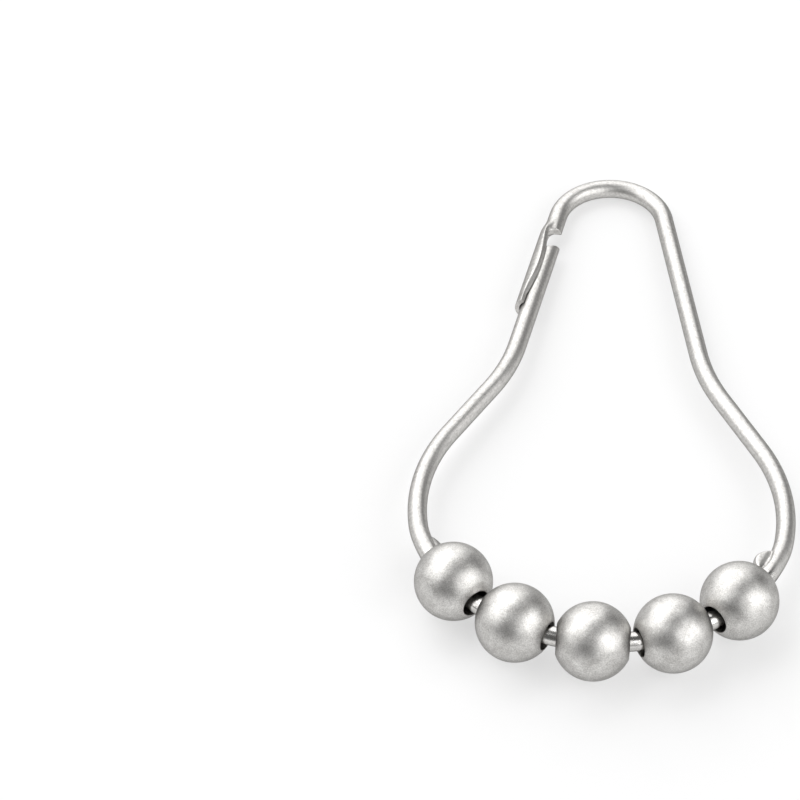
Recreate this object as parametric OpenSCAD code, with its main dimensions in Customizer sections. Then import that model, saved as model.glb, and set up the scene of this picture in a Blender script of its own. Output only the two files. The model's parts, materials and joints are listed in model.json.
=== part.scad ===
// Shower curtain hook: a pear-shaped ring of round wire with five loose roller balls
// on its wide end and a snap clasp in one leg of its narrow end.
// It lies as it comes to rest, balls towards -Y and narrow end towards +Y, with the
// floor at z = 0 and the origin under the middle of its bounding box.
// The outline is drawn in the ring's own plane: u across, v from the lowest point of
// the ball row to the narrow end, n up. It is a chain of tangent arcs and straights.
// Lean is the angle between a stretch of wire and the ring's long axis.

/* [Wire] */
// Diameter of the round wire
wire_d = 2.0; // [1.6:0.05:2.3]

/* [Narrow end] */
// Centreline radius of the narrow end
top_r = 5.75; // [4.5:0.05:7]
// Lean of the two straight legs, degrees
leg_lean = 10.8; // [8:0.1:13]
// Length of each straight leg
leg_len = 21.6; // [17:0.1:26]
// Centreline radius of the knee below each leg
knee_r = 21.8; // [14:0.1:27]

/* [Wide end] */
// Lean of the flaring sides below the knees, degrees
side_lean = 29.7; // [24:0.1:36]
// Centreline radius of the shoulders
shoulder_r = 20.4; // [15:0.1:24]
// Centreline radius of the tighter bend beside each crimp
corner_r = 9.5; // [8:0.1:12]
// Angle turned by that bend, degrees
corner_sweep = 10.0; // [8:0.1:14]
// Centreline radius of the arc that carries the balls
row_r = 19.3; // [17:0.1:24]

/* [Balls] */
// Outer diameter of a ball
ball_d = 8.0; // [6.6:0.1:8.6]
// Diameter of the hole through a ball
ball_hole_d = 3.0; // [2.6:0.05:3.4]
// Free space between neighbouring balls, along the line of their centres
ball_gap = 0.16; // [0.05:0.01:0.4]
// Shift of the whole row of balls along the wire, degrees of its arc
row_shift = -1.0; // [-1.4:0.1:1.4]
// Height of the wire's axis over the middle ball's centre, taken from the play in its hole
row_lift = 0.13; // [0:0.01:0.2]

/* [Crimps] */
// Thickness left between the two pinched faces
crimp_t = 1.2; // [1.0:0.05:1.5]
// Length of a crimp along the wire
crimp_len = 3.1; // [2.6:0.1:3.8]
// How much wider than the ball's hole a crimp is
crimp_over = 0.15; // [0.1:0.05:0.4]
// Smallest gap between a crimp and the end ball
crimp_gap = 0.2; // [0.1:0.05:0.4]

/* [Clasp] */
// Distance from the narrow bend to the channel
shank_len = 4.1; // [3.2:0.1:5]
// Length of the channel, from the shank to its open end
channel_len = 11.4; // [9:0.1:13.5]
// Wall of the channel
channel_wall = 0.53; // [0.4:0.01:0.7]
// Play between the channel and the leg that snaps into it
clasp_play = 0.1; // [0.06:0.01:0.16]
// Radius of the round notch where the channel runs out into the shank
notch_r = 1.35; // [1.1:0.05:1.6]
// Distance from the notch's centre to the free end of the leg
leg_end_gap = 1.2; // [0.9:0.05:1.6]
// Reach of the lower lip past the leg's axis, towards the inside of the ring
lower_lip = 0.42; // [0.3:0.01:0.6]
// Length over which the lower lip rounds down to the channel's open end
lip_round = 2.8; // [2:0.1:3.6]
// Shortfall of the upper lip from the leg's axis at its crest
upper_lip = 0.1; // [0.05:0.01:0.3]
// Distance from the channel's open end to the upper lip's crest
upper_crest = 6.5; // [5:0.1:7.5]
// Reach of both lips behind the leg's axis at the channel's open end
lip_end = 0.95; // [0.8:0.01:1.05]

/* [Hidden] */
ball_count = 5;
slack = 1;              // how far a cutter stands out of what it cuts
lap = 0.05;             // how far a bend runs into the stretches beside it
step_d = 0.02;          // extra diameter of the stretches that the bends run into
round_fn = 64;

wire_r = wire_d / 2;
ball_r = ball_d / 2;
bore_half = sqrt(pow(ball_r, 2) - pow(ball_hole_d / 2, 2));   // half the length of a ball's bore
ball_step = 2 * asin((ball_d + ball_gap) / 2 / row_r);
row_sagitta = row_r - sqrt(pow(row_r, 2) - pow(bore_half, 2));
seat_r = row_r - row_sagitta / 2;                             // a ball sits midway across the wire's bow
crimp_turn = (ball_count - 1) / 2 * ball_step + abs(row_shift)
    + (bore_half + crimp_gap + crimp_len / 2) / row_r * 180 / PI;
row_turn = crimp_turn + (crimp_len / 2 + lap * 2) / row_r * 180 / PI;   // half the sweep of the ball arc
shoulder_end = -(90 - row_turn - corner_sweep);               // lean where the shoulder meets the bend

// Across and along shift of an arc that turns from lean a to lean b at radius r.
function arc_shift(r, a, b) = sign(b - a) * r * [cos(a) - cos(b), sin(a) - sin(b)];
// Unit vector of a stretch with lean a, on the right-hand side of the ring.
function along(a) = [sin(a), -cos(a)];
// Centre of an arc that starts at point p with lean a; side is 1 when it bends outward.
function arc_centre(p, a, r, side) = p + side * r * [cos(a), sin(a)];

// Right-hand side of the outline, with the narrow arc's centre at [0, 0] for now.
leg_top = top_r * [cos(leg_lean), sin(leg_lean)];
knee_top = leg_top + leg_len * along(leg_lean);
side_top = knee_top + arc_shift(knee_r, leg_lean, side_lean);
lower_shift = arc_shift(shoulder_r, side_lean, shoulder_end)
    + arc_shift(corner_r, shoulder_end, row_turn - 90)
    + arc_shift(row_r, row_turn - 90, -90);
side_len = -(side_top[0] + lower_shift[0]) / sin(side_lean);  // closes the ring on its long axis
shoulder_top = side_top + side_len * along(side_lean);
corner_top = shoulder_top + arc_shift(shoulder_r, side_lean, shoulder_end);
row_top = corner_top + arc_shift(corner_r, shoulder_end, row_turn - 90);
row_bottom = row_top + arc_shift(row_r, row_turn - 90, -90);
ring_len = top_r - row_bottom[1];                             // centreline length of the ring
ring_mid = [0, row_bottom[1]];                                // becomes the point [0, 0] of the plane

channel_r = wire_r + clasp_play + channel_wall;
channel_bore_r = wire_r + clasp_play;
shank_out = channel_wall * 0.66;                              // the shank's axis lies outside the leg's
top_r_clasp = top_r + shank_out / (1 - sin(leg_lean));        // the narrow arc is wider on the clasp side
notch_s = shank_len + 0.8;
leg_start = notch_s + leg_end_gap;
channel_end = shank_len + channel_len;
channel_low_v = leg_top[1] - ring_mid[1] - (notch_s + notch_r) * cos(leg_lean);

tilt = asin((ball_r + row_lift - channel_r) / channel_low_v); // rests on the balls and the channel
row_centre = [0, row_r];
// The row arc's point at an angle from its lowest point, at radius r, in the ring's plane.
function row_point(turn, r) = row_centre + r * [sin(turn), -cos(turn)];
function ball_turn(i) = row_shift + (i - (ball_count - 1) / 2) * ball_step;
mid_ball_y = row_point(ball_turn(2), seat_r)[1] * cos(tilt);
centre_y = (mid_ball_y - ball_r + ring_len * cos(tilt) + wire_r) / 2;

// Lays the ring's plane down: the narrow end dips, and the row's lowest point keeps its lift.
module lay_down() {
    translate([0, -centre_y, ball_r + row_lift]) rotate([-tilt, 0, 0]) children();
}

// Round wire, straight, from point p with lean a.
module straight_wire(p, a, len) {
    translate([p[0], p[1], 0]) rotate([0, 0, a - 90]) rotate([0, 90, 0])
        cylinder(d = wire_d + step_d, h = len, $fn = round_fn);
}

// Round wire bent round centre c from polar angle a, through sweep.
module bent_wire(c, r, a, sweep, d = wire_d, ends = [lap, lap]) {
    extra = ends / r * 180 / PI;
    translate([c[0], c[1], 0])
        rotate_extrude(angle = sweep + extra[0] + extra[1], start = a - extra[0], $fn = round_fn * 4)
            translate([r, 0]) circle(d = d, $fn = round_fn);
}

// One side of the outline below the narrow end; the leg begins `from` below its top.
module ring_side(from) {
    leg_point = leg_top - ring_mid;
    straight_wire(leg_point + from * along(leg_lean), leg_lean, leg_len - from);
    bent_wire(arc_centre(knee_top - ring_mid, leg_lean, knee_r, 1), knee_r,
        180 + leg_lean, side_lean - leg_lean);
    straight_wire(side_top - ring_mid, side_lean, side_len);
    bent_wire(arc_centre(shoulder_top - ring_mid, side_lean, shoulder_r, -1), shoulder_r,
        shoulder_end, side_lean - shoulder_end);
    bent_wire(arc_centre(corner_top - ring_mid, shoulder_end, corner_r, -1), corner_r,
        row_turn - 90, shoulder_end - row_turn + 90, wire_d + step_d, [0, 0]);
}

// Places a child at an angle along the ball arc: x along the wire, y to the inside, z up.
module on_row(turn, r) {
    p = row_point(turn, r);
    translate([p[0], p[1], 0]) rotate([0, 0, turn]) children();
}

// Places a child on the clasp leg: x down the leg from the narrow bend, y to the inside.
module on_leg() {
    p = leg_top - ring_mid;
    translate([-p[0], p[1], 0]) rotate([0, 0, 270 - leg_lean]) children();
}

// Ear pushed out to the inside of the ring where the wire is pinched.
module crimp_ear() {
    reach = ball_hole_d + crimp_over - wire_r;
    rise = reach - wire_r * 0.6;
    ear_r = (pow(crimp_len / 2, 2) + pow(rise, 2)) / (2 * rise);
    intersection() {
        translate([0, reach - ear_r, -wire_r * 0.85]) cylinder(r = ear_r, h = wire_r * 1.7, $fn = round_fn);
        translate([-crimp_len, 0, -wire_r]) cube([2 * crimp_len, reach + slack, wire_d]);
    }
}

// Round jaw that presses one dished face of a crimp.
module crimp_jaw() {
    depth = wire_r - crimp_t / 2;
    jaw_r = (pow(crimp_len / 2, 2) + pow(depth, 2)) / (2 * depth);
    translate([0, -wire_d * 1.5, crimp_t / 2 + jaw_r]) rotate([-90, 0, 0])
        cylinder(r = jaw_r, h = wire_d * 3, $fn = round_fn * 2);
}

// Shank between the narrow bend and the channel, its inner side scooped by the notch.
module shank() {
    translate([0, -shank_out, 0]) rotate([0, 90, 0]) cylinder(d = wire_d + step_d, h = notch_s, $fn = round_fn);
    translate([shank_len - 1.5, 0, 0]) rotate([0, 90, 0])
        cylinder(r1 = wire_r * 0.8, r2 = channel_r, h = 1.5, $fn = round_fn);
}

// Space over the upper lip: its edge is one long low arc with its crest towards the shank.
module upper_mouth() {
    drop = lip_end - upper_lip;
    crest_r = (pow(upper_crest, 2) + pow(drop, 2)) / (2 * drop);
    difference() {
        translate([shank_len, -lip_end - slack, 0]) cube([channel_len + slack, 2 * slack + channel_r * 2, channel_r + slack]);
        translate([channel_end - upper_crest, -upper_lip - crest_r, -slack])
            cylinder(r = crest_r, h = channel_r + 3 * slack, $fn = round_fn * 4);
    }
}

// Space beside the lower lip: straight edge, rounded down to the channel's open end.
module lower_mouth() {
    drop = lip_end + lower_lip;
    round_r = (pow(lip_round, 2) + pow(drop, 2)) / (2 * drop);
    depth = channel_r + slack;
    translate([shank_len, lower_lip, -depth]) cube([channel_len + slack, channel_r + slack, depth]);
    difference() {
        translate([channel_end - lip_round, -lip_end - slack / 2, -depth])
            cube([lip_round + slack, slack / 2 + drop + slack, depth]);
        translate([channel_end - lip_round, lower_lip - round_r, -depth - slack])
            cylinder(r = round_r, h = depth + 2 * slack, $fn = round_fn * 2);
    }
}

// Half-round channel rolled from the flattened end of the wire, open to the inside.
module clasp_channel() {
    difference() {
        union() {
            shank();
            translate([shank_len, 0, 0]) rotate([0, 90, 0])
                cylinder(r = channel_r, h = channel_len, $fn = round_fn);
        }
        translate([notch_s, 0, 0]) rotate([0, 90, 0])
            cylinder(r = channel_bore_r, h = channel_len + slack, $fn = round_fn);
        translate([notch_s, notch_r - channel_bore_r, -channel_r - slack])
            cylinder(r = notch_r, h = 2 * (channel_r + slack), $fn = round_fn);
        upper_mouth();
        lower_mouth();
    }
}

// The whole wire: one piece, from its free end in the clasp round to the channel.
module ring_wire() {
    color("gainsboro") lay_down() {
        difference() {
            union() {
                ring_side(0);
                mirror([1, 0, 0]) ring_side(leg_start);
                bent_wire(row_centre, row_r, 270 - row_turn, 2 * row_turn);
                for (side = [-1, 1]) on_row(side * crimp_turn, row_r) crimp_ear();
            }
            for (side = [-1, 1], face = [0, 1])
                on_row(side * crimp_turn, row_r) mirror([0, 0, face]) crimp_jaw();
        }
        bent_wire([0, ring_len - top_r], top_r, leg_lean, 90 - leg_lean, wire_d, [lap, 0]);
        bent_wire([0, ring_len - top_r_clasp], top_r_clasp, 90, 90 - leg_lean, wire_d, [0, lap]);
        on_leg() clasp_channel();
    }
}

// A drilled ball, standing on the floor with the wire through its hole.
module roller_ball(i) {
    turn = ball_turn(i);
    p = row_point(turn, seat_r);
    color("silver") translate([p[0], p[1] * cos(tilt) - centre_y, ball_r]) rotate([-tilt, 0, 0])
        rotate([0, 0, turn]) rotate([0, 90, 0]) rotate_extrude($fn = round_fn * 2) intersection() {
            circle(d = ball_d, $fn = round_fn * 2);
            translate([ball_hole_d / 2, -ball_r]) square([ball_r, ball_d]);
        }
}

ring_wire();
roller_ball(0);  // roller_ball_1
roller_ball(1);  // roller_ball_2
roller_ball(2);  // roller_ball_3
roller_ball(3);  // roller_ball_4
roller_ball(4);  // roller_ball_5
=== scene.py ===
import json
import bpy
import numpy as np
from mathutils import Matrix, Vector


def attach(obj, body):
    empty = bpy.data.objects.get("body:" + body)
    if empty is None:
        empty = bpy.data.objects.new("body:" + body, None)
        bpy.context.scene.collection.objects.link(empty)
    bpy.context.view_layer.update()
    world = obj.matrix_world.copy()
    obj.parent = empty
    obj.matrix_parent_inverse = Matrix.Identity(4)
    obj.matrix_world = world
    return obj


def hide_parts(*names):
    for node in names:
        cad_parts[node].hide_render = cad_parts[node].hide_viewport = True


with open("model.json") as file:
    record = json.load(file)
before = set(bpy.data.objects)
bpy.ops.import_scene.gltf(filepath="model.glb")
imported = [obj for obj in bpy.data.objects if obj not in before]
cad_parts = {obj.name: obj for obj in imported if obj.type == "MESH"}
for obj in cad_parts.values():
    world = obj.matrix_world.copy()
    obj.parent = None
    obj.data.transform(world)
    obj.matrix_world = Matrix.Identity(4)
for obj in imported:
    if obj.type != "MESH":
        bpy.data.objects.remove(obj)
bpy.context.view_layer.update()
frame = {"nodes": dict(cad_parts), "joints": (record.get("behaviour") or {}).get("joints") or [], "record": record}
print("frame in:", sorted(frame["nodes"]))

mm = 0.001

# The ring's outline, in millimetres and degrees. Lean is a stretch's angle to the ring's long axis.
outline = dict(
    wire=2.0,              # diameter of the round wire
    topRadius=5.75,        # narrow end, centreline
    legLean=10.8,
    legLength=21.6,
    kneeRadius=21.8,
    sideLean=29.7,
    shoulderRadius=20.4,
    cornerRadius=9.5,      # tighter bend beside each crimp
    cornerSweep=10.0,
    rowRadius=19.3,        # the arc under the balls
    rowShift=-1.0,         # the row of balls, pushed round the arc
    rowLift=0.13,          # wire's axis over the middle ball's centre
)

# Five loose balls.
balls = dict(
    diameter=8.0,
    hole=3.0,
    gap=0.16,              # free space between two of them
    holeEase=0.05,         # radius of the worn edge of each hole
    around=144,            # mesh steps round the bore
    along=84,              # mesh steps over the outside, hole to hole
)

# Where the wire is pinched beside the end balls.
crimps = dict(
    length=3.1,
    thickness=1.2,         # left between the two dished faces
    overHole=0.15,         # how much wider than the ball's hole
    gap=0.2,               # to the end ball
    bite=0.56,             # how far into the wire the jaw bites, as a share of its radius
    dish=0.4,              # how much thinner the ear is at its root
    tipEase=0.4,           # rounding of the ear's rim
    twist=(-34, 4),        # degrees each ear is turned about the wire
)

# The snap clasp: a trough rolled from the wire's other end.
clasp = dict(
    shank=4.1,             # narrow bend to trough
    trough=11.4,
    wall=0.53,
    play=0.1,
    notchRadius=1.35,
    legEndGap=1.2,         # notch's centre to the leg's free end
    lowerLip=0.42,         # past the leg's axis, to the inside
    lipRound=2.8,
    upperLip=0.1,          # short of the leg's axis at its crest
    upperCrest=6.5,        # crest's distance from the open end
    lipBevel=0.38,         # how far its edge leans back through the wall
    lipEnd=0.95,
    edgeEase=0.09,         # rounding of the cut edges
    scoop=(2.98, 1.15),    # the notch's round end in the shank: start and length
    undercut=0.95,         # how far its foot runs back, over one radius
    legSlant=(0.4, 0.32),  # the leg's cut end, leaning across and upwards
)


def ringNumbers():
    # The same chain of tangent arcs and straights as the solid: leg, knee, side, shoulder, corner and ball
    # arc, with the side's length found from the ring closing on its long axis.
    o, b, c, k = outline, balls, crimps, clasp
    wireR, ballR = o["wire"] / 2, b["diameter"] / 2
    boreHalf = np.sqrt(ballR**2 - (b["hole"] / 2) ** 2)
    step = 2 * np.degrees(np.arcsin((b["diameter"] + b["gap"]) / 2 / o["rowRadius"]))
    crimpTurn = 2 * step + abs(o["rowShift"]) + np.degrees((boreHalf + c["gap"] + c["length"] / 2) / o["rowRadius"])
    rowTurn = crimpTurn + np.degrees((c["length"] / 2 + 0.1) / o["rowRadius"])
    shoulderEnd = -(90 - rowTurn - o["cornerSweep"])

    def bend(r, a, b):
        a, b = np.radians([a, b])
        return np.sign(b - a) * r * np.array([np.cos(a) - np.cos(b), np.sin(a) - np.sin(b)])

    def straight(length, a):
        return length * np.array([np.sin(np.radians(a)), -np.cos(np.radians(a))])

    legTop = o["topRadius"] * np.array([np.cos(np.radians(o["legLean"])), np.sin(np.radians(o["legLean"]))])
    sideTop = legTop + straight(o["legLength"], o["legLean"]) + bend(o["kneeRadius"], o["legLean"], o["sideLean"])
    lower = (bend(o["shoulderRadius"], o["sideLean"], shoulderEnd) + bend(o["cornerRadius"], shoulderEnd, rowTurn - 90)
             + bend(o["rowRadius"], rowTurn - 90, -90))
    sideLength = -(sideTop[0] + lower[0]) / np.sin(np.radians(o["sideLean"]))
    bottom = sideTop + straight(sideLength, o["sideLean"]) + lower
    ringLength = o["topRadius"] - bottom[1]
    troughR = wireR + k["play"] + k["wall"]
    shankOut = k["wall"] * 0.66
    notchAt = k["shank"] + 0.8
    lowV = legTop[1] - bottom[1] - (notchAt + k["notchRadius"]) * np.cos(np.radians(o["legLean"]))
    tilt = np.arcsin((ballR + o["rowLift"] - troughR) / lowV)
    seat = o["rowRadius"] - (o["rowRadius"] - np.sqrt(o["rowRadius"] ** 2 - boreHalf**2)) / 2
    midBall = (o["rowRadius"] - seat * np.cos(np.radians(o["rowShift"]))) * np.cos(tilt)
    return dict(
        wireR=wireR, ballR=ballR, crimpTurn=crimpTurn, rowTurn=rowTurn, shoulderEnd=shoulderEnd,
        legTop=legTop - [0, bottom[1]], sideLength=sideLength, ringLength=ringLength, troughR=troughR,
        boreR=wireR + k["play"], shankOut=shankOut, notchAt=notchAt, legStart=notchAt + k["legEndGap"],
        troughEnd=k["shank"] + k["trough"], tilt=tilt,
        topRadiusClasp=o["topRadius"] + shankOut / (1 - np.sin(np.radians(o["legLean"]))),
        middleY=(midBall - ballR + ringLength * np.cos(tilt) + wireR) / 2,
    )


size = ringNumbers()


def layDown(u, v, n):
    # Plane point (u across, v along, n up) to the floor frame in metres: turned by the tilt about the row,
    # then set at the row's height.
    t = size["tilt"]
    y = v * np.cos(t) + n * np.sin(t) - size["middleY"]
    z = -v * np.sin(t) + n * np.cos(t) + size["ballR"] + outline["rowLift"]
    return np.stack([u + 0 * y, y, z], -1) * mm


def easeStep(x):
    x = np.clip(x, 0, 1)
    return x * x * (3 - 2 * x)


def softMin(a, b, width):
    # Smaller of two curves, with the corner between them rounded over about this width.
    return (a + b - np.sqrt((a - b) ** 2 + width**2)) / 2


def skin(name, grid, closedAlong=False, endPairs=None):
    # A closed surface over a grid of points (along, around): each cell between neighbours is one face, and the
    # last column joins the first. Ends are shut by pairing points across the section, or the rows join up too.
    rows, columns = grid.shape[:2]
    i, j = np.meshgrid(np.arange(rows if closedAlong else rows - 1), np.arange(columns), indexing="ij")
    nextI, nextJ = (i + 1) % rows, (j + 1) % columns
    quads = np.stack([i * columns + j, i * columns + nextJ, nextI * columns + nextJ, nextI * columns + j], -1).reshape(-1, 4)
    points = grid.reshape(-1, 3)
    corners = points[quads]
    volume = np.einsum("ij,ij->i", corners[:, 0], np.cross(corners[:, 1], corners[:, 2])).sum() \
        + np.einsum("ij,ij->i", corners[:, 0], np.cross(corners[:, 2], corners[:, 3])).sum()
    faces = quads.tolist()
    smooth = [True] * len(faces)
    if endPairs is not None:
        last = (rows - 1) * columns
        for face in endPairs:
            faces += [face[::-1], [last + p for p in face]]
            smooth += [False, False]
    if volume < 0:
        faces = [face[::-1] for face in faces]
    mesh = bpy.data.meshes.new(name)
    mesh.from_pydata(points.tolist(), [], faces)
    mesh.polygons.foreach_set("use_smooth", smooth)
    mesh.validate()
    piece = bpy.data.objects.new(name, mesh)
    bpy.context.scene.collection.objects.link(piece)
    return piece


# The wire's line, from its free end in the clasp, round by the balls and back over the narrow end to the
# trough's open end: rows of length and turn.
def wireRuns():
    o, s = outline, size
    lean, side, row, end = o["legLean"], o["sideLean"], s["rowTurn"], s["shoulderEnd"]

    def arc(radius, turn):
        return [radius * abs(np.radians(turn)), turn]

    down = [arc(o["kneeRadius"], lean - side), [s["sideLength"], 0], arc(o["shoulderRadius"], side - end),
            arc(o["cornerRadius"], o["cornerSweep"])]
    runs = [[o["legLength"] - s["legStart"], 0]] + down + [arc(o["rowRadius"], 2 * row)] + down[::-1]
    runs += [[o["legLength"], 0], arc(o["topRadius"], 90 - lean), arc(s["topRadiusClasp"], 90 - lean),
             [s["troughEnd"], 0]]
    return np.array(runs)


runs = wireRuns()
runStart = np.concatenate([[0], np.cumsum(runs[:, 0])])
runHeading = np.radians(270 - outline["legLean"] + np.concatenate([[0], np.cumsum(runs[:, 1])]))


def wireLine(s):
    # Point and heading at a distance along the wire: each run is a circular arc, whose chord from its start
    # has length d * sin(x) / x at heading + x, where x is half the turn made so far.
    half = np.radians(runs[:, 1]) / 2
    chord = (runs[:, 0] * np.sinc(half / np.pi))[:, None] * np.stack(
        [np.cos(runHeading[:-1] + half), np.sin(runHeading[:-1] + half)], -1)
    lean = np.radians(outline["legLean"])
    start = size["legTop"] * [-1, 1] + size["legStart"] * np.array([-np.sin(lean), -np.cos(lean)])
    corner = start + np.concatenate([[[0, 0]], np.cumsum(chord, 0)])
    k = np.clip(np.searchsorted(runStart, s, side="right") - 1, 0, len(runs) - 1)
    d = s - runStart[k]
    turn = np.radians(runs[k, 1]) * d / runs[k, 0]
    reach = d * np.sinc(turn / 2 / np.pi)
    at = corner[k] + reach[:, None] * np.stack([np.cos(runHeading[k] + turn / 2), np.sin(runHeading[k] + turn / 2)], -1)
    return at, runHeading[k] + turn


wireTotal = runStart[-1]
rowMiddle = (runStart[5] + runStart[6]) / 2
crimpPlaces = rowMiddle + np.radians(size["crimpTurn"]) * outline["rowRadius"] * np.array([-1, 1])
bendEnd = runStart[-2]         # where the shank starts
backPoints, edgePoints = 32, 8
loopPoints = 2 * (backPoints + edgePoints)


def wireStations():
    # Distances along the wire for the mesh rows: 0.35 mm apart, closer at the crimps and in the clasp.
    plain = np.arange(0.4, bendEnd + 1.8, 0.35)
    crimp = np.arange(-2.2, 2.21, 0.07)
    for place in crimpPlaces:
        plain = np.concatenate([plain[np.abs(plain - place) > 2.3], place + crimp])
    ease = clasp["edgeEase"]
    rim = ease * (1 - np.cos(np.linspace(0, np.pi / 2, 5)))
    trough = np.concatenate([np.arange(1.9, 4.6, 0.035), np.arange(4.6, size["troughEnd"] - ease - 0.02, 0.075)]) + bendEnd
    return np.sort(np.concatenate([rim, plain, trough, wireTotal - rim]))


def endShrink(s):
    # How far the section draws in near each cut end: a quarter circle of the edge's rounding.
    ease = clasp["edgeEase"]
    near = np.minimum(np.minimum(s, wireTotal - s), ease)
    return ease - np.sqrt(np.maximum(ease**2 - (ease - near) ** 2, 0))


def roundSection(s, theta):
    # Round wire with an ear pressed out of its inner side at each crimp: the ear starts at a line across the
    # section that follows the jaw's circle, drops a step to the ear's face and runs to the ear's own circle.
    c, r = crimps, size["wireR"]
    x = s[:, None] - crimpPlaces
    nearest = np.argmin(np.abs(x), 1)
    x = np.abs(x).min(1)
    half, face = c["length"] / 2, c["thickness"] / 2
    reach = balls["hole"] + c["overHole"] - r
    rise = reach - r * 0.6
    earR = (half**2 + rise**2) / (2 * rise)
    ear = reach - earR + np.sqrt(np.maximum(earR**2 - x**2, 0.0))
    pressed = np.sqrt(np.clip(1 - (x / half) ** 2, 0, 1))
    root = (1 - c["bite"] * pressed)[:, None]
    front = np.where(x < half, -softMin(-ear, -r + 0 * x, 0.12), r)[:, None]
    shrink = endShrink(s)[:, None]
    cosT, sinT = np.cos(theta)[None], np.sin(theta)[None]
    out = np.clip((cosT - root) / np.maximum(1 - root, 1e-6), 0, 1)
    earA = root * r + (front - root * r) * out
    tip = np.clip((earA - front + c["tipEase"]) / c["tipEase"], 0, 1)
    dished = face * (1 - c["dish"] * pressed[:, None] * (1 - easeStep(out / 0.6)))
    level = dished + (r * np.sqrt(1 - np.minimum(root, 1) ** 2) - dished) * (1 - easeStep(out / 0.13))
    onEar = (cosT > root) & (pressed[:, None] > 0)
    a = np.where(onEar, earA, (r - shrink) * cosT)
    n = np.where(onEar, np.sign(sinT) * level * np.sqrt(1 - tip**2), (r - shrink) * sinT)
    turn = np.radians(np.array(c["twist"]))[nearest] * (1 - easeStep((x - half) / 1.2))
    turn = turn[:, None]
    return a * np.cos(turn) - n * np.sin(turn), a * np.sin(turn) + n * np.cos(turn)


def troughSection(s, along):
    # A strip bent round the leg's axis from the upper lip, behind it, to the lower lip: its angle runs with the
    # place along the strip, and its radius with the place through the wall.
    k, z = clasp, size
    t = s - bendEnd
    wall = k["wall"] / 2 - np.where(t > 0, endShrink(s), 0)
    middleR = z["troughR"] - k["wall"] / 2
    notch = 0.25 - np.sqrt(np.maximum(k["notchRadius"] ** 2 - np.clip(t - z["notchAt"], 0, None) ** 2, 0))
    notch = np.where(t > z["notchAt"] + k["notchRadius"], 9, notch)
    fromCrest = t - z["troughEnd"] + k["upperCrest"]
    drop = k["lipEnd"] - k["upperLip"]
    crestR = (k["upperCrest"] ** 2 + drop**2) / (2 * drop)
    inner = -k["upperLip"] - crestR + np.sqrt(np.maximum(crestR**2 - fromCrest**2, 0))
    outer = -softMin(0 * t + k["lipEnd"], k["upperLip"] + k["lipBevel"] + 1.6 * (1 - np.cos(fromCrest / 4.8)), 0.12)
    drop = k["lipEnd"] + k["lowerLip"]
    roundR = (k["lipRound"] ** 2 + drop**2) / (2 * drop)
    past = np.clip(t - z["troughEnd"] + k["lipRound"], 0, None)
    lower = k["lowerLip"] - roundR + np.sqrt(np.maximum(roundR**2 - past**2, 0))
    outerAngle = np.arccos(outer / z["troughR"])
    innerAngle = np.minimum(np.arccos(np.clip(inner / z["boreR"], -1, 1)), outerAngle)
    lowerAngle = np.arccos(np.clip(softMin(lower, notch, 0.12) / z["troughR"], -1, 1))
    inset = k["edgeEase"] / middleR
    upperAngle = outerAngle[:, None] + (innerAngle - outerAngle)[:, None] * (1 - along["through"][None]) / 2 + inset
    span = 2 * np.pi - upperAngle - lowerAngle[:, None] - inset
    angle = upperAngle + along["place"][None] * span + along["past"][None] * inset
    radius = middleR + along["through"][None] * wall[:, None]
    return z["shankOut"] + radius * np.cos(angle), radius * np.sin(angle)


def stripLoop():
    # For each point of the loop: place along the strip, place through the wall, and how far round an edge.
    edge = np.pi * (np.arange(edgePoints) + 1) / (edgePoints + 1)
    through = np.sign(np.cos(edge)) * np.abs(np.cos(edge)) ** 0.6
    past = np.sin(edge) ** 0.6
    ramp = np.linspace(0, 1, backPoints)
    mixed = (np.arange(edgePoints) + 1) / (edgePoints + 1)
    one, nil = np.ones(edgePoints), np.zeros(backPoints)
    return dict(
        place=np.concatenate([ramp, one, ramp[::-1], 0 * one]),
        through=np.concatenate([nil + 1, through, nil - 1, -through]),
        past=np.concatenate([nil, past, nil, -past]),
        front=np.concatenate([nil, mixed, nil + 1, mixed[::-1]]),
    )


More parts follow.
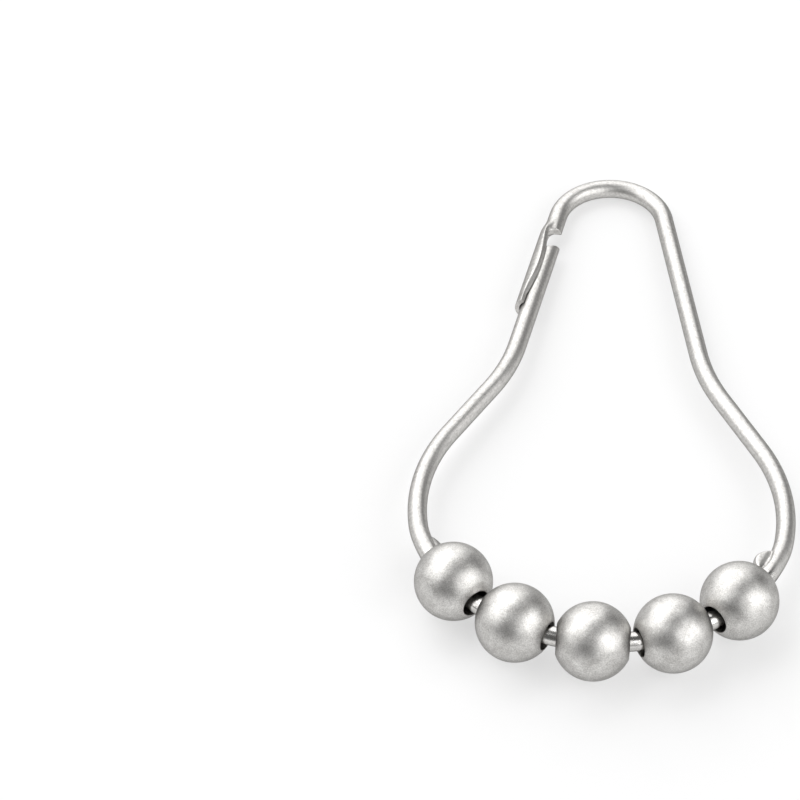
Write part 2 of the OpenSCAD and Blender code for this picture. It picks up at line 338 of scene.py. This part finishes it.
def buildRingWire():
    # The sections change from round wire to strip: the back widens first, then the front is scooped away
    # along a quarter ellipse, which starts earlier the lower a point lies.
    s = wireStations()
    at, heading = wireLine(s)
    along = stripLoop()
    theta = np.radians(180 - (backPoints - 1) / 2 * 360 / loopPoints) + 2 * np.pi * np.arange(loopPoints) / loopPoints
    roundA, roundN = roundSection(s, theta)
    troughA, troughN = troughSection(s, along)
    t = s - bendEnd
    back = easeStep((t - 1.2) / 2.4)
    early = clasp["undercut"] * np.clip(0.15 - roundN, 0, None)
    past = np.clip((t[:, None] + early - clasp["scoop"][0]) / clasp["scoop"][1], 0, 1)
    front = (1 - (1 - past) ** 2) ** 0.7
    weight = back[:, None] * (1 - along["front"][None]) + front * along["front"][None]
    a = roundA * (1 - weight) + troughA * weight
    n = roundN * (1 - weight) + troughN * weight
    across, upwards = clasp["legSlant"]
    slide = (upwards * n - across * a - 0.1) * (1 - easeStep(s / 1.6))[:, None]
    u = at[:, :1] - np.sin(heading)[:, None] * a + np.cos(heading)[:, None] * slide
    v = at[:, 1:] + np.cos(heading)[:, None] * a + np.sin(heading)[:, None] * slide
    pairs = [[j, j + 1, 2 * backPoints + edgePoints - 2 - j, 2 * backPoints + edgePoints - 1 - j] for j in range(backPoints - 1)]
    pairs += [list(range(backPoints - 1, backPoints + edgePoints + 1)),
              list(range(2 * backPoints + edgePoints - 1, loopPoints)) + [0]]
    wire = skin("ringWireSkin", layDown(u, v, n), endPairs=pairs)
    worn = np.broadcast_to(easeStep((crimpPlaces[1] - rowMiddle - np.abs(s - rowMiddle)) / 2)[:, None], a.shape)
    wire.data.attributes.new("worn", "FLOAT", "POINT").data.foreach_set("value", np.float32(worn).ravel())
    grain = np.stack(np.broadcast_arrays(s[:, None] / 10, np.cos(theta)[None], np.sin(theta)[None]), -1)
    wire.data.attributes.new("grainPlace", "FLOAT_VECTOR", "POINT").data.foreach_set(
        "vector", np.ascontiguousarray(grain, np.float32).ravel())
    return wire


def buildBall(name, centre, axis):
    # A profile turned about the bore: outer arc, eased hole edge, bore, eased hole edge.
    b = balls
    ballR, holeR, ease = b["diameter"] / 2, b["hole"] / 2, b["holeEase"]
    easeX = np.sqrt((ballR - ease) ** 2 - (holeR + ease) ** 2)
    meet = np.arctan2(holeR + ease, easeX)
    over = np.linspace(np.pi - meet, meet, b["along"])
    turn = np.linspace(meet, -np.pi / 2, 9)[1:]
    bore = np.linspace(easeX, -easeX, 8)[1:-1]
    x = np.concatenate([ballR * np.cos(over), easeX + ease * np.cos(turn), bore, -easeX - ease * np.cos(turn[::-1])])
    r = np.concatenate([ballR * np.sin(over), holeR + ease + ease * np.sin(turn), holeR + 0 * bore,
                        holeR + ease + ease * np.sin(turn[::-1])])
    axis = np.array(axis) / np.linalg.norm(axis)
    side = np.cross(axis, [0, 0, 1])
    side /= np.linalg.norm(side)
    rise = np.cross(side, axis)
    around = 2 * np.pi * np.arange(b["around"]) / b["around"]
    ringDir = np.cos(around)[:, None] * side + np.sin(around)[:, None] * rise
    grid = np.array(centre) + mm * (x[:, None, None] * axis + r[:, None, None] * ringDir[None])
    return skin(name, grid, closedAlong=True)


def node(tree, kind, place=(0, 0), **settings):
    made = tree.nodes.new(kind)
    made.location = place
    for key, value in settings.items():
        if key in made.inputs:
            made.inputs[key].default_value = value
        else:
            setattr(made, key, value)
    return made


def plainMetal(name, colour, roughness, rim):
    material = bpy.data.materials.new(name)
    material.use_nodes = True
    shader = material.node_tree.nodes["Principled BSDF"]
    shader.inputs["Base Color"].default_value = (*colour, 1)
    shader.inputs["Metallic"].default_value = 1.0
    shader.inputs["Roughness"].default_value = roughness
    shader.inputs["Specular Tint"].default_value = (rim, rim, rim, 1)
    return material, material.node_tree, shader


# Blasted and tumbled satin of the balls.
ballFinish = dict(
    light=(0.78, 0.77, 0.75),
    dark=(0.4, 0.39, 0.375),
    rim=0.42,              # how much of the light a steep glance gives back
    roughness=(0.31, 0.42),
    grain=0.12,            # mm
    cloud=1.2,             # mm
    depth=0.026,           # mm, of the grain
)

# Drawn wire, plated and lightly brushed along its length.
wireFinish = dict(
    light=(0.68, 0.67, 0.65),
    dark=(0.47, 0.46, 0.445),
    rim=0.15,
    roughness=(0.38, 0.48),
    rubbed=0.2,            # how much smoother the balls have rubbed it
    grain=0.14,            # mm, across the lines
    stretch=6.0,           # lines' length over their width
    pit=0.3,               # mm, between pits
    depth=0.009,           # mm, of the lines
)


def makeBallFinish():
    f = ballFinish
    material, tree, shader = plainMetal("satinBall", f["light"], f["roughness"][0], f["rim"])
    place = node(tree, "ShaderNodeTexCoord", (-1200, 0))
    grain = node(tree, "ShaderNodeTexNoise", (-900, -250), Scale=1 / (f["grain"] * mm), Detail=4.0, Roughness=0.75)
    cloud = node(tree, "ShaderNodeTexNoise", (-900, 100), Scale=1 / (f["cloud"] * mm), Detail=3.0, Roughness=0.65)
    for noise in (grain, cloud):
        tree.links.new(place.outputs["Object"], noise.inputs["Vector"])
    speck = node(tree, "ShaderNodeMix", (-650, 0))
    speck.inputs["Factor"].default_value = 0.7
    tree.links.new(cloud.outputs["Fac"], speck.inputs["A"])
    tree.links.new(grain.outputs["Fac"], speck.inputs["B"])
    tone = node(tree, "ShaderNodeValToRGB", (-400, 150))
    tone.color_ramp.elements[0].position, tone.color_ramp.elements[1].position = 0.38, 0.62
    tone.color_ramp.elements[0].color = (*f["dark"], 1)
    tone.color_ramp.elements[1].color = (*f["light"], 1)
    tree.links.new(speck.outputs[0], tone.inputs["Fac"])
    tree.links.new(tone.outputs["Color"], shader.inputs["Base Color"])
    rough = node(tree, "ShaderNodeMapRange", (-400, -80))
    for key, value in (("From Min", 0.38), ("From Max", 0.62), ("To Min", f["roughness"][1]), ("To Max", f["roughness"][0])):
        rough.inputs[key].default_value = value
    tree.links.new(speck.outputs[0], rough.inputs["Value"])
    tree.links.new(rough.outputs["Result"], shader.inputs["Roughness"])
    bump = node(tree, "ShaderNodeBump", (-400, -350), Strength=1.0, Distance=f["depth"] * mm)
    tree.links.new(grain.outputs["Fac"], bump.inputs["Height"])
    tree.links.new(bump.outputs["Normal"], shader.inputs["Normal"])
    return material


def makeWireFinish():
    f = wireFinish
    material, tree, shader = plainMetal("satinWire", f["light"], f["roughness"][0], f["rim"])
    place = node(tree, "ShaderNodeAttribute", (-1300, -100), attribute_name="grainPlace")
    stretch = node(tree, "ShaderNodeMapping", (-1100, -100))
    stretch.inputs["Scale"].default_value = (10 / f["stretch"], 1, 1)
    tree.links.new(place.outputs["Vector"], stretch.inputs["Vector"])
    lines = node(tree, "ShaderNodeTexNoise", (-900, -250), Scale=1 / f["grain"], Detail=2.0, Roughness=0.55)
    tree.links.new(stretch.outputs["Vector"], lines.inputs["Vector"])
    here = node(tree, "ShaderNodeTexCoord", (-1300, 250))
    pits = node(tree, "ShaderNodeTexNoise", (-900, 150), Scale=1 / (f["pit"] * mm), Detail=3.0, Roughness=0.7)
    tree.links.new(here.outputs["Object"], pits.inputs["Vector"])
    both = node(tree, "ShaderNodeMath", (-650, 0), operation="MULTIPLY_ADD")
    both.inputs[1].default_value = 0.6
    tree.links.new(lines.outputs["Fac"], both.inputs[0])
    tree.links.new(pits.outputs["Fac"], both.inputs[2])
    tone = node(tree, "ShaderNodeValToRGB", (-400, 150))
    tone.color_ramp.elements[0].position, tone.color_ramp.elements[1].position = 0.55, 0.95
    tone.color_ramp.elements[0].color = (*f["dark"], 1)
    tone.color_ramp.elements[1].color = (*f["light"], 1)
    tree.links.new(both.outputs[0], tone.inputs["Fac"])
    tree.links.new(tone.outputs["Color"], shader.inputs["Base Color"])
    rough = node(tree, "ShaderNodeMapRange", (-400, -80))
    for key, value in (("From Min", 0.55), ("From Max", 1.0), ("To Min", f["roughness"][1]), ("To Max", f["roughness"][0])):
        rough.inputs[key].default_value = value
    tree.links.new(both.outputs[0], rough.inputs["Value"])
    worn = node(tree, "ShaderNodeAttribute", (-650, -450), attribute_name="worn")
    rubbed = node(tree, "ShaderNodeMath", (-200, -200), operation="MULTIPLY_ADD")
    rubbed.inputs[1].default_value = -f["rubbed"]
    tree.links.new(worn.outputs["Fac"], rubbed.inputs[0])
    tree.links.new(rough.outputs["Result"], rubbed.inputs[2])
    tree.links.new(rubbed.outputs[0], shader.inputs["Roughness"])
    bump = node(tree, "ShaderNodeBump", (-400, -350), Strength=1.0, Distance=f["depth"] * mm)
    tree.links.new(both.outputs[0], bump.inputs["Height"])
    tree.links.new(bump.outputs["Normal"], shader.inputs["Normal"])
    return material


satinWire, satinBall = makeWireFinish(), makeBallFinish()

ringWire = buildRingWire()
ringWire.data.materials.append(satinWire)
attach(ringWire, "ring")
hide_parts("ring_wire")
print("ring wire:", len(ringWire.data.polygons), "faces, ring", round(size["ringLength"], 3), "mm, tilt", round(np.degrees(size["tilt"]), 3))

for joint in frame["joints"]:
    body = joint["child"]
    nodeName = frame["record"]["behaviour"]["bodies"][body][0]
    ball = buildBall("satinBall" + body[-1], joint["pos_m"], joint["axis"])
    ball.data.materials.append(satinBall)
    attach(ball, body)
    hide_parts(nodeName)

# Camera as the photograph has it: degrees, millimetres and pixels of an 800 pixel frame.
view = dict(azimuth=-3.46, elevation=47.49, roll=0.44, aim=(-21.84, 2.59, 0.0), distance=405.7, focalPixels=3807)


def makeCamera():
    az, el, roll = np.radians([view["azimuth"], view["elevation"], view["roll"]])
    look = Vector((np.sin(az) * np.cos(el), np.cos(az) * np.cos(el), -np.sin(el)))
    right = Vector((np.cos(az), -np.sin(az), 0))
    up = right.cross(look)
    right, up = right * np.cos(roll) + up * np.sin(roll), up * np.cos(roll) - right * np.sin(roll)
    lens = bpy.data.cameras.new("camera")
    lens.sensor_width, lens.sensor_fit = 36, "HORIZONTAL"
    lens.lens = 36 * view["focalPixels"] / 800
    lens.clip_start, lens.clip_end = 0.01, 50
    camera = bpy.data.objects.new("camera", lens)
    bpy.context.scene.collection.objects.link(camera)
    at = (Vector(view["aim"]) - look * view["distance"]) * mm
    turn = Matrix((right, up, -look)).transposed().to_4x4()
    camera.matrix_world = Matrix.Translation(at) @ turn
    bpy.context.scene.camera = camera
    return camera


makeCamera()

# Soft boxes round the ring: azimuth from the back towards the right and elevation in degrees, width and height
# as angles, all at one distance in metres. A brightness of 1 looks white.
studio = dict(
    distance=0.8,
    left=dict(azimuth=262, elevation=40, width=45, height=60, brightness=1.65),
    leftBack=dict(azimuth=307, elevation=42, width=45, height=60, brightness=1.65),
    back=dict(azimuth=352, elevation=31, width=52, height=74, brightness=1.7),
    right=dict(azimuth=99, elevation=31, width=40, height=52, brightness=1.85),
    rightFront=dict(azimuth=139, elevation=31, width=40, height=52, brightness=1.85),
    world=0.14,            # light from the room
    floorWhite=0.55,       # share of plain white in the floor's look, in the picture and in reflections
    floorColour=0.84,
)


def softBox(name, azimuth, elevation, width, height, brightness):
    lamp = bpy.data.lights.new(name, "AREA")
    lamp.shape = "RECTANGLE"
    lamp.size, lamp.size_y = 2 * studio["distance"] * np.tan(np.radians([width / 2, height / 2]))
    lamp.energy = np.pi * lamp.size * lamp.size_y * brightness
    az, el = np.radians([azimuth, elevation])
    way = Vector((np.sin(az) * np.cos(el), np.cos(az) * np.cos(el), np.sin(el)))
    side = Vector((np.cos(az), -np.sin(az), 0))
    box = bpy.data.objects.new(name, lamp)
    turn = Matrix((side, way.cross(side), way)).transposed().to_4x4()
    box.matrix_world = Matrix.Translation(way * studio["distance"]) @ turn
    bpy.context.scene.collection.objects.link(box)
    return box


for name in ("left", "leftBack", "back", "right", "rightFront"):
    softBox(name, **studio[name])


def whiteFor(tree, place):
    # 1 for what the camera, a reflection or a see-through part looks at, and 0 for light.
    path = node(tree, "ShaderNodeLightPath", place)
    first = node(tree, "ShaderNodeMath", (place[0] + 200, place[1]), operation="MAXIMUM")
    both = node(tree, "ShaderNodeMath", (place[0] + 400, place[1]), operation="MAXIMUM")
    tree.links.new(path.outputs["Is Camera Ray"], first.inputs[0])
    tree.links.new(path.outputs["Is Glossy Ray"], first.inputs[1])
    tree.links.new(first.outputs[0], both.inputs[0])
    tree.links.new(path.outputs["Is Transmission Ray"], both.inputs[1])
    return both.outputs[0]


def makeWorld():
    world = bpy.data.worlds.new("studioWorld")
    bpy.context.scene.world = world
    world.use_nodes = True
    background = world.node_tree.nodes["Background"]
    background.inputs["Color"].default_value = (1, 1, 1, 1)
    background.inputs["Strength"].default_value = studio["world"]


def makeFloor():
    half = 3.0
    mesh = bpy.data.meshes.new("floor")
    mesh.from_pydata([(-half, -half, 0), (half, -half, 0), (half, half, 0), (-half, half, 0)], [], [(0, 1, 2, 3)])
    floor = bpy.data.objects.new("floor", mesh)
    bpy.context.scene.collection.objects.link(floor)
    material = bpy.data.materials.new("paleFloor")
    material.use_nodes = True
    tree = material.node_tree
    tree.nodes.clear()
    out = node(tree, "ShaderNodeOutputMaterial", (600, 0))
    paint = node(tree, "ShaderNodeBsdfDiffuse", (0, 100), Color=(*[studio["floorColour"]] * 3, 1))
    white = node(tree, "ShaderNodeEmission", (0, -100), Color=(1, 1, 1, 1), Strength=1.0)
    share = node(tree, "ShaderNodeMath", (0, 300), operation="MULTIPLY")
    share.inputs[1].default_value = studio["floorWhite"]
    mix = node(tree, "ShaderNodeMixShader", (300, 0))
    tree.links.new(whiteFor(tree, (-700, 300)), share.inputs[0])
    tree.links.new(share.outputs[0], mix.inputs[0])
    tree.links.new(paint.outputs[0], mix.inputs[1])
    tree.links.new(white.outputs[0], mix.inputs[2])
    tree.links.new(mix.outputs[0], out.inputs["Surface"])
    mesh.materials.append(material)


makeWorld()
makeFloor()
bpy.context.scene.view_settings.view_transform = "Standard"
print("studio up")
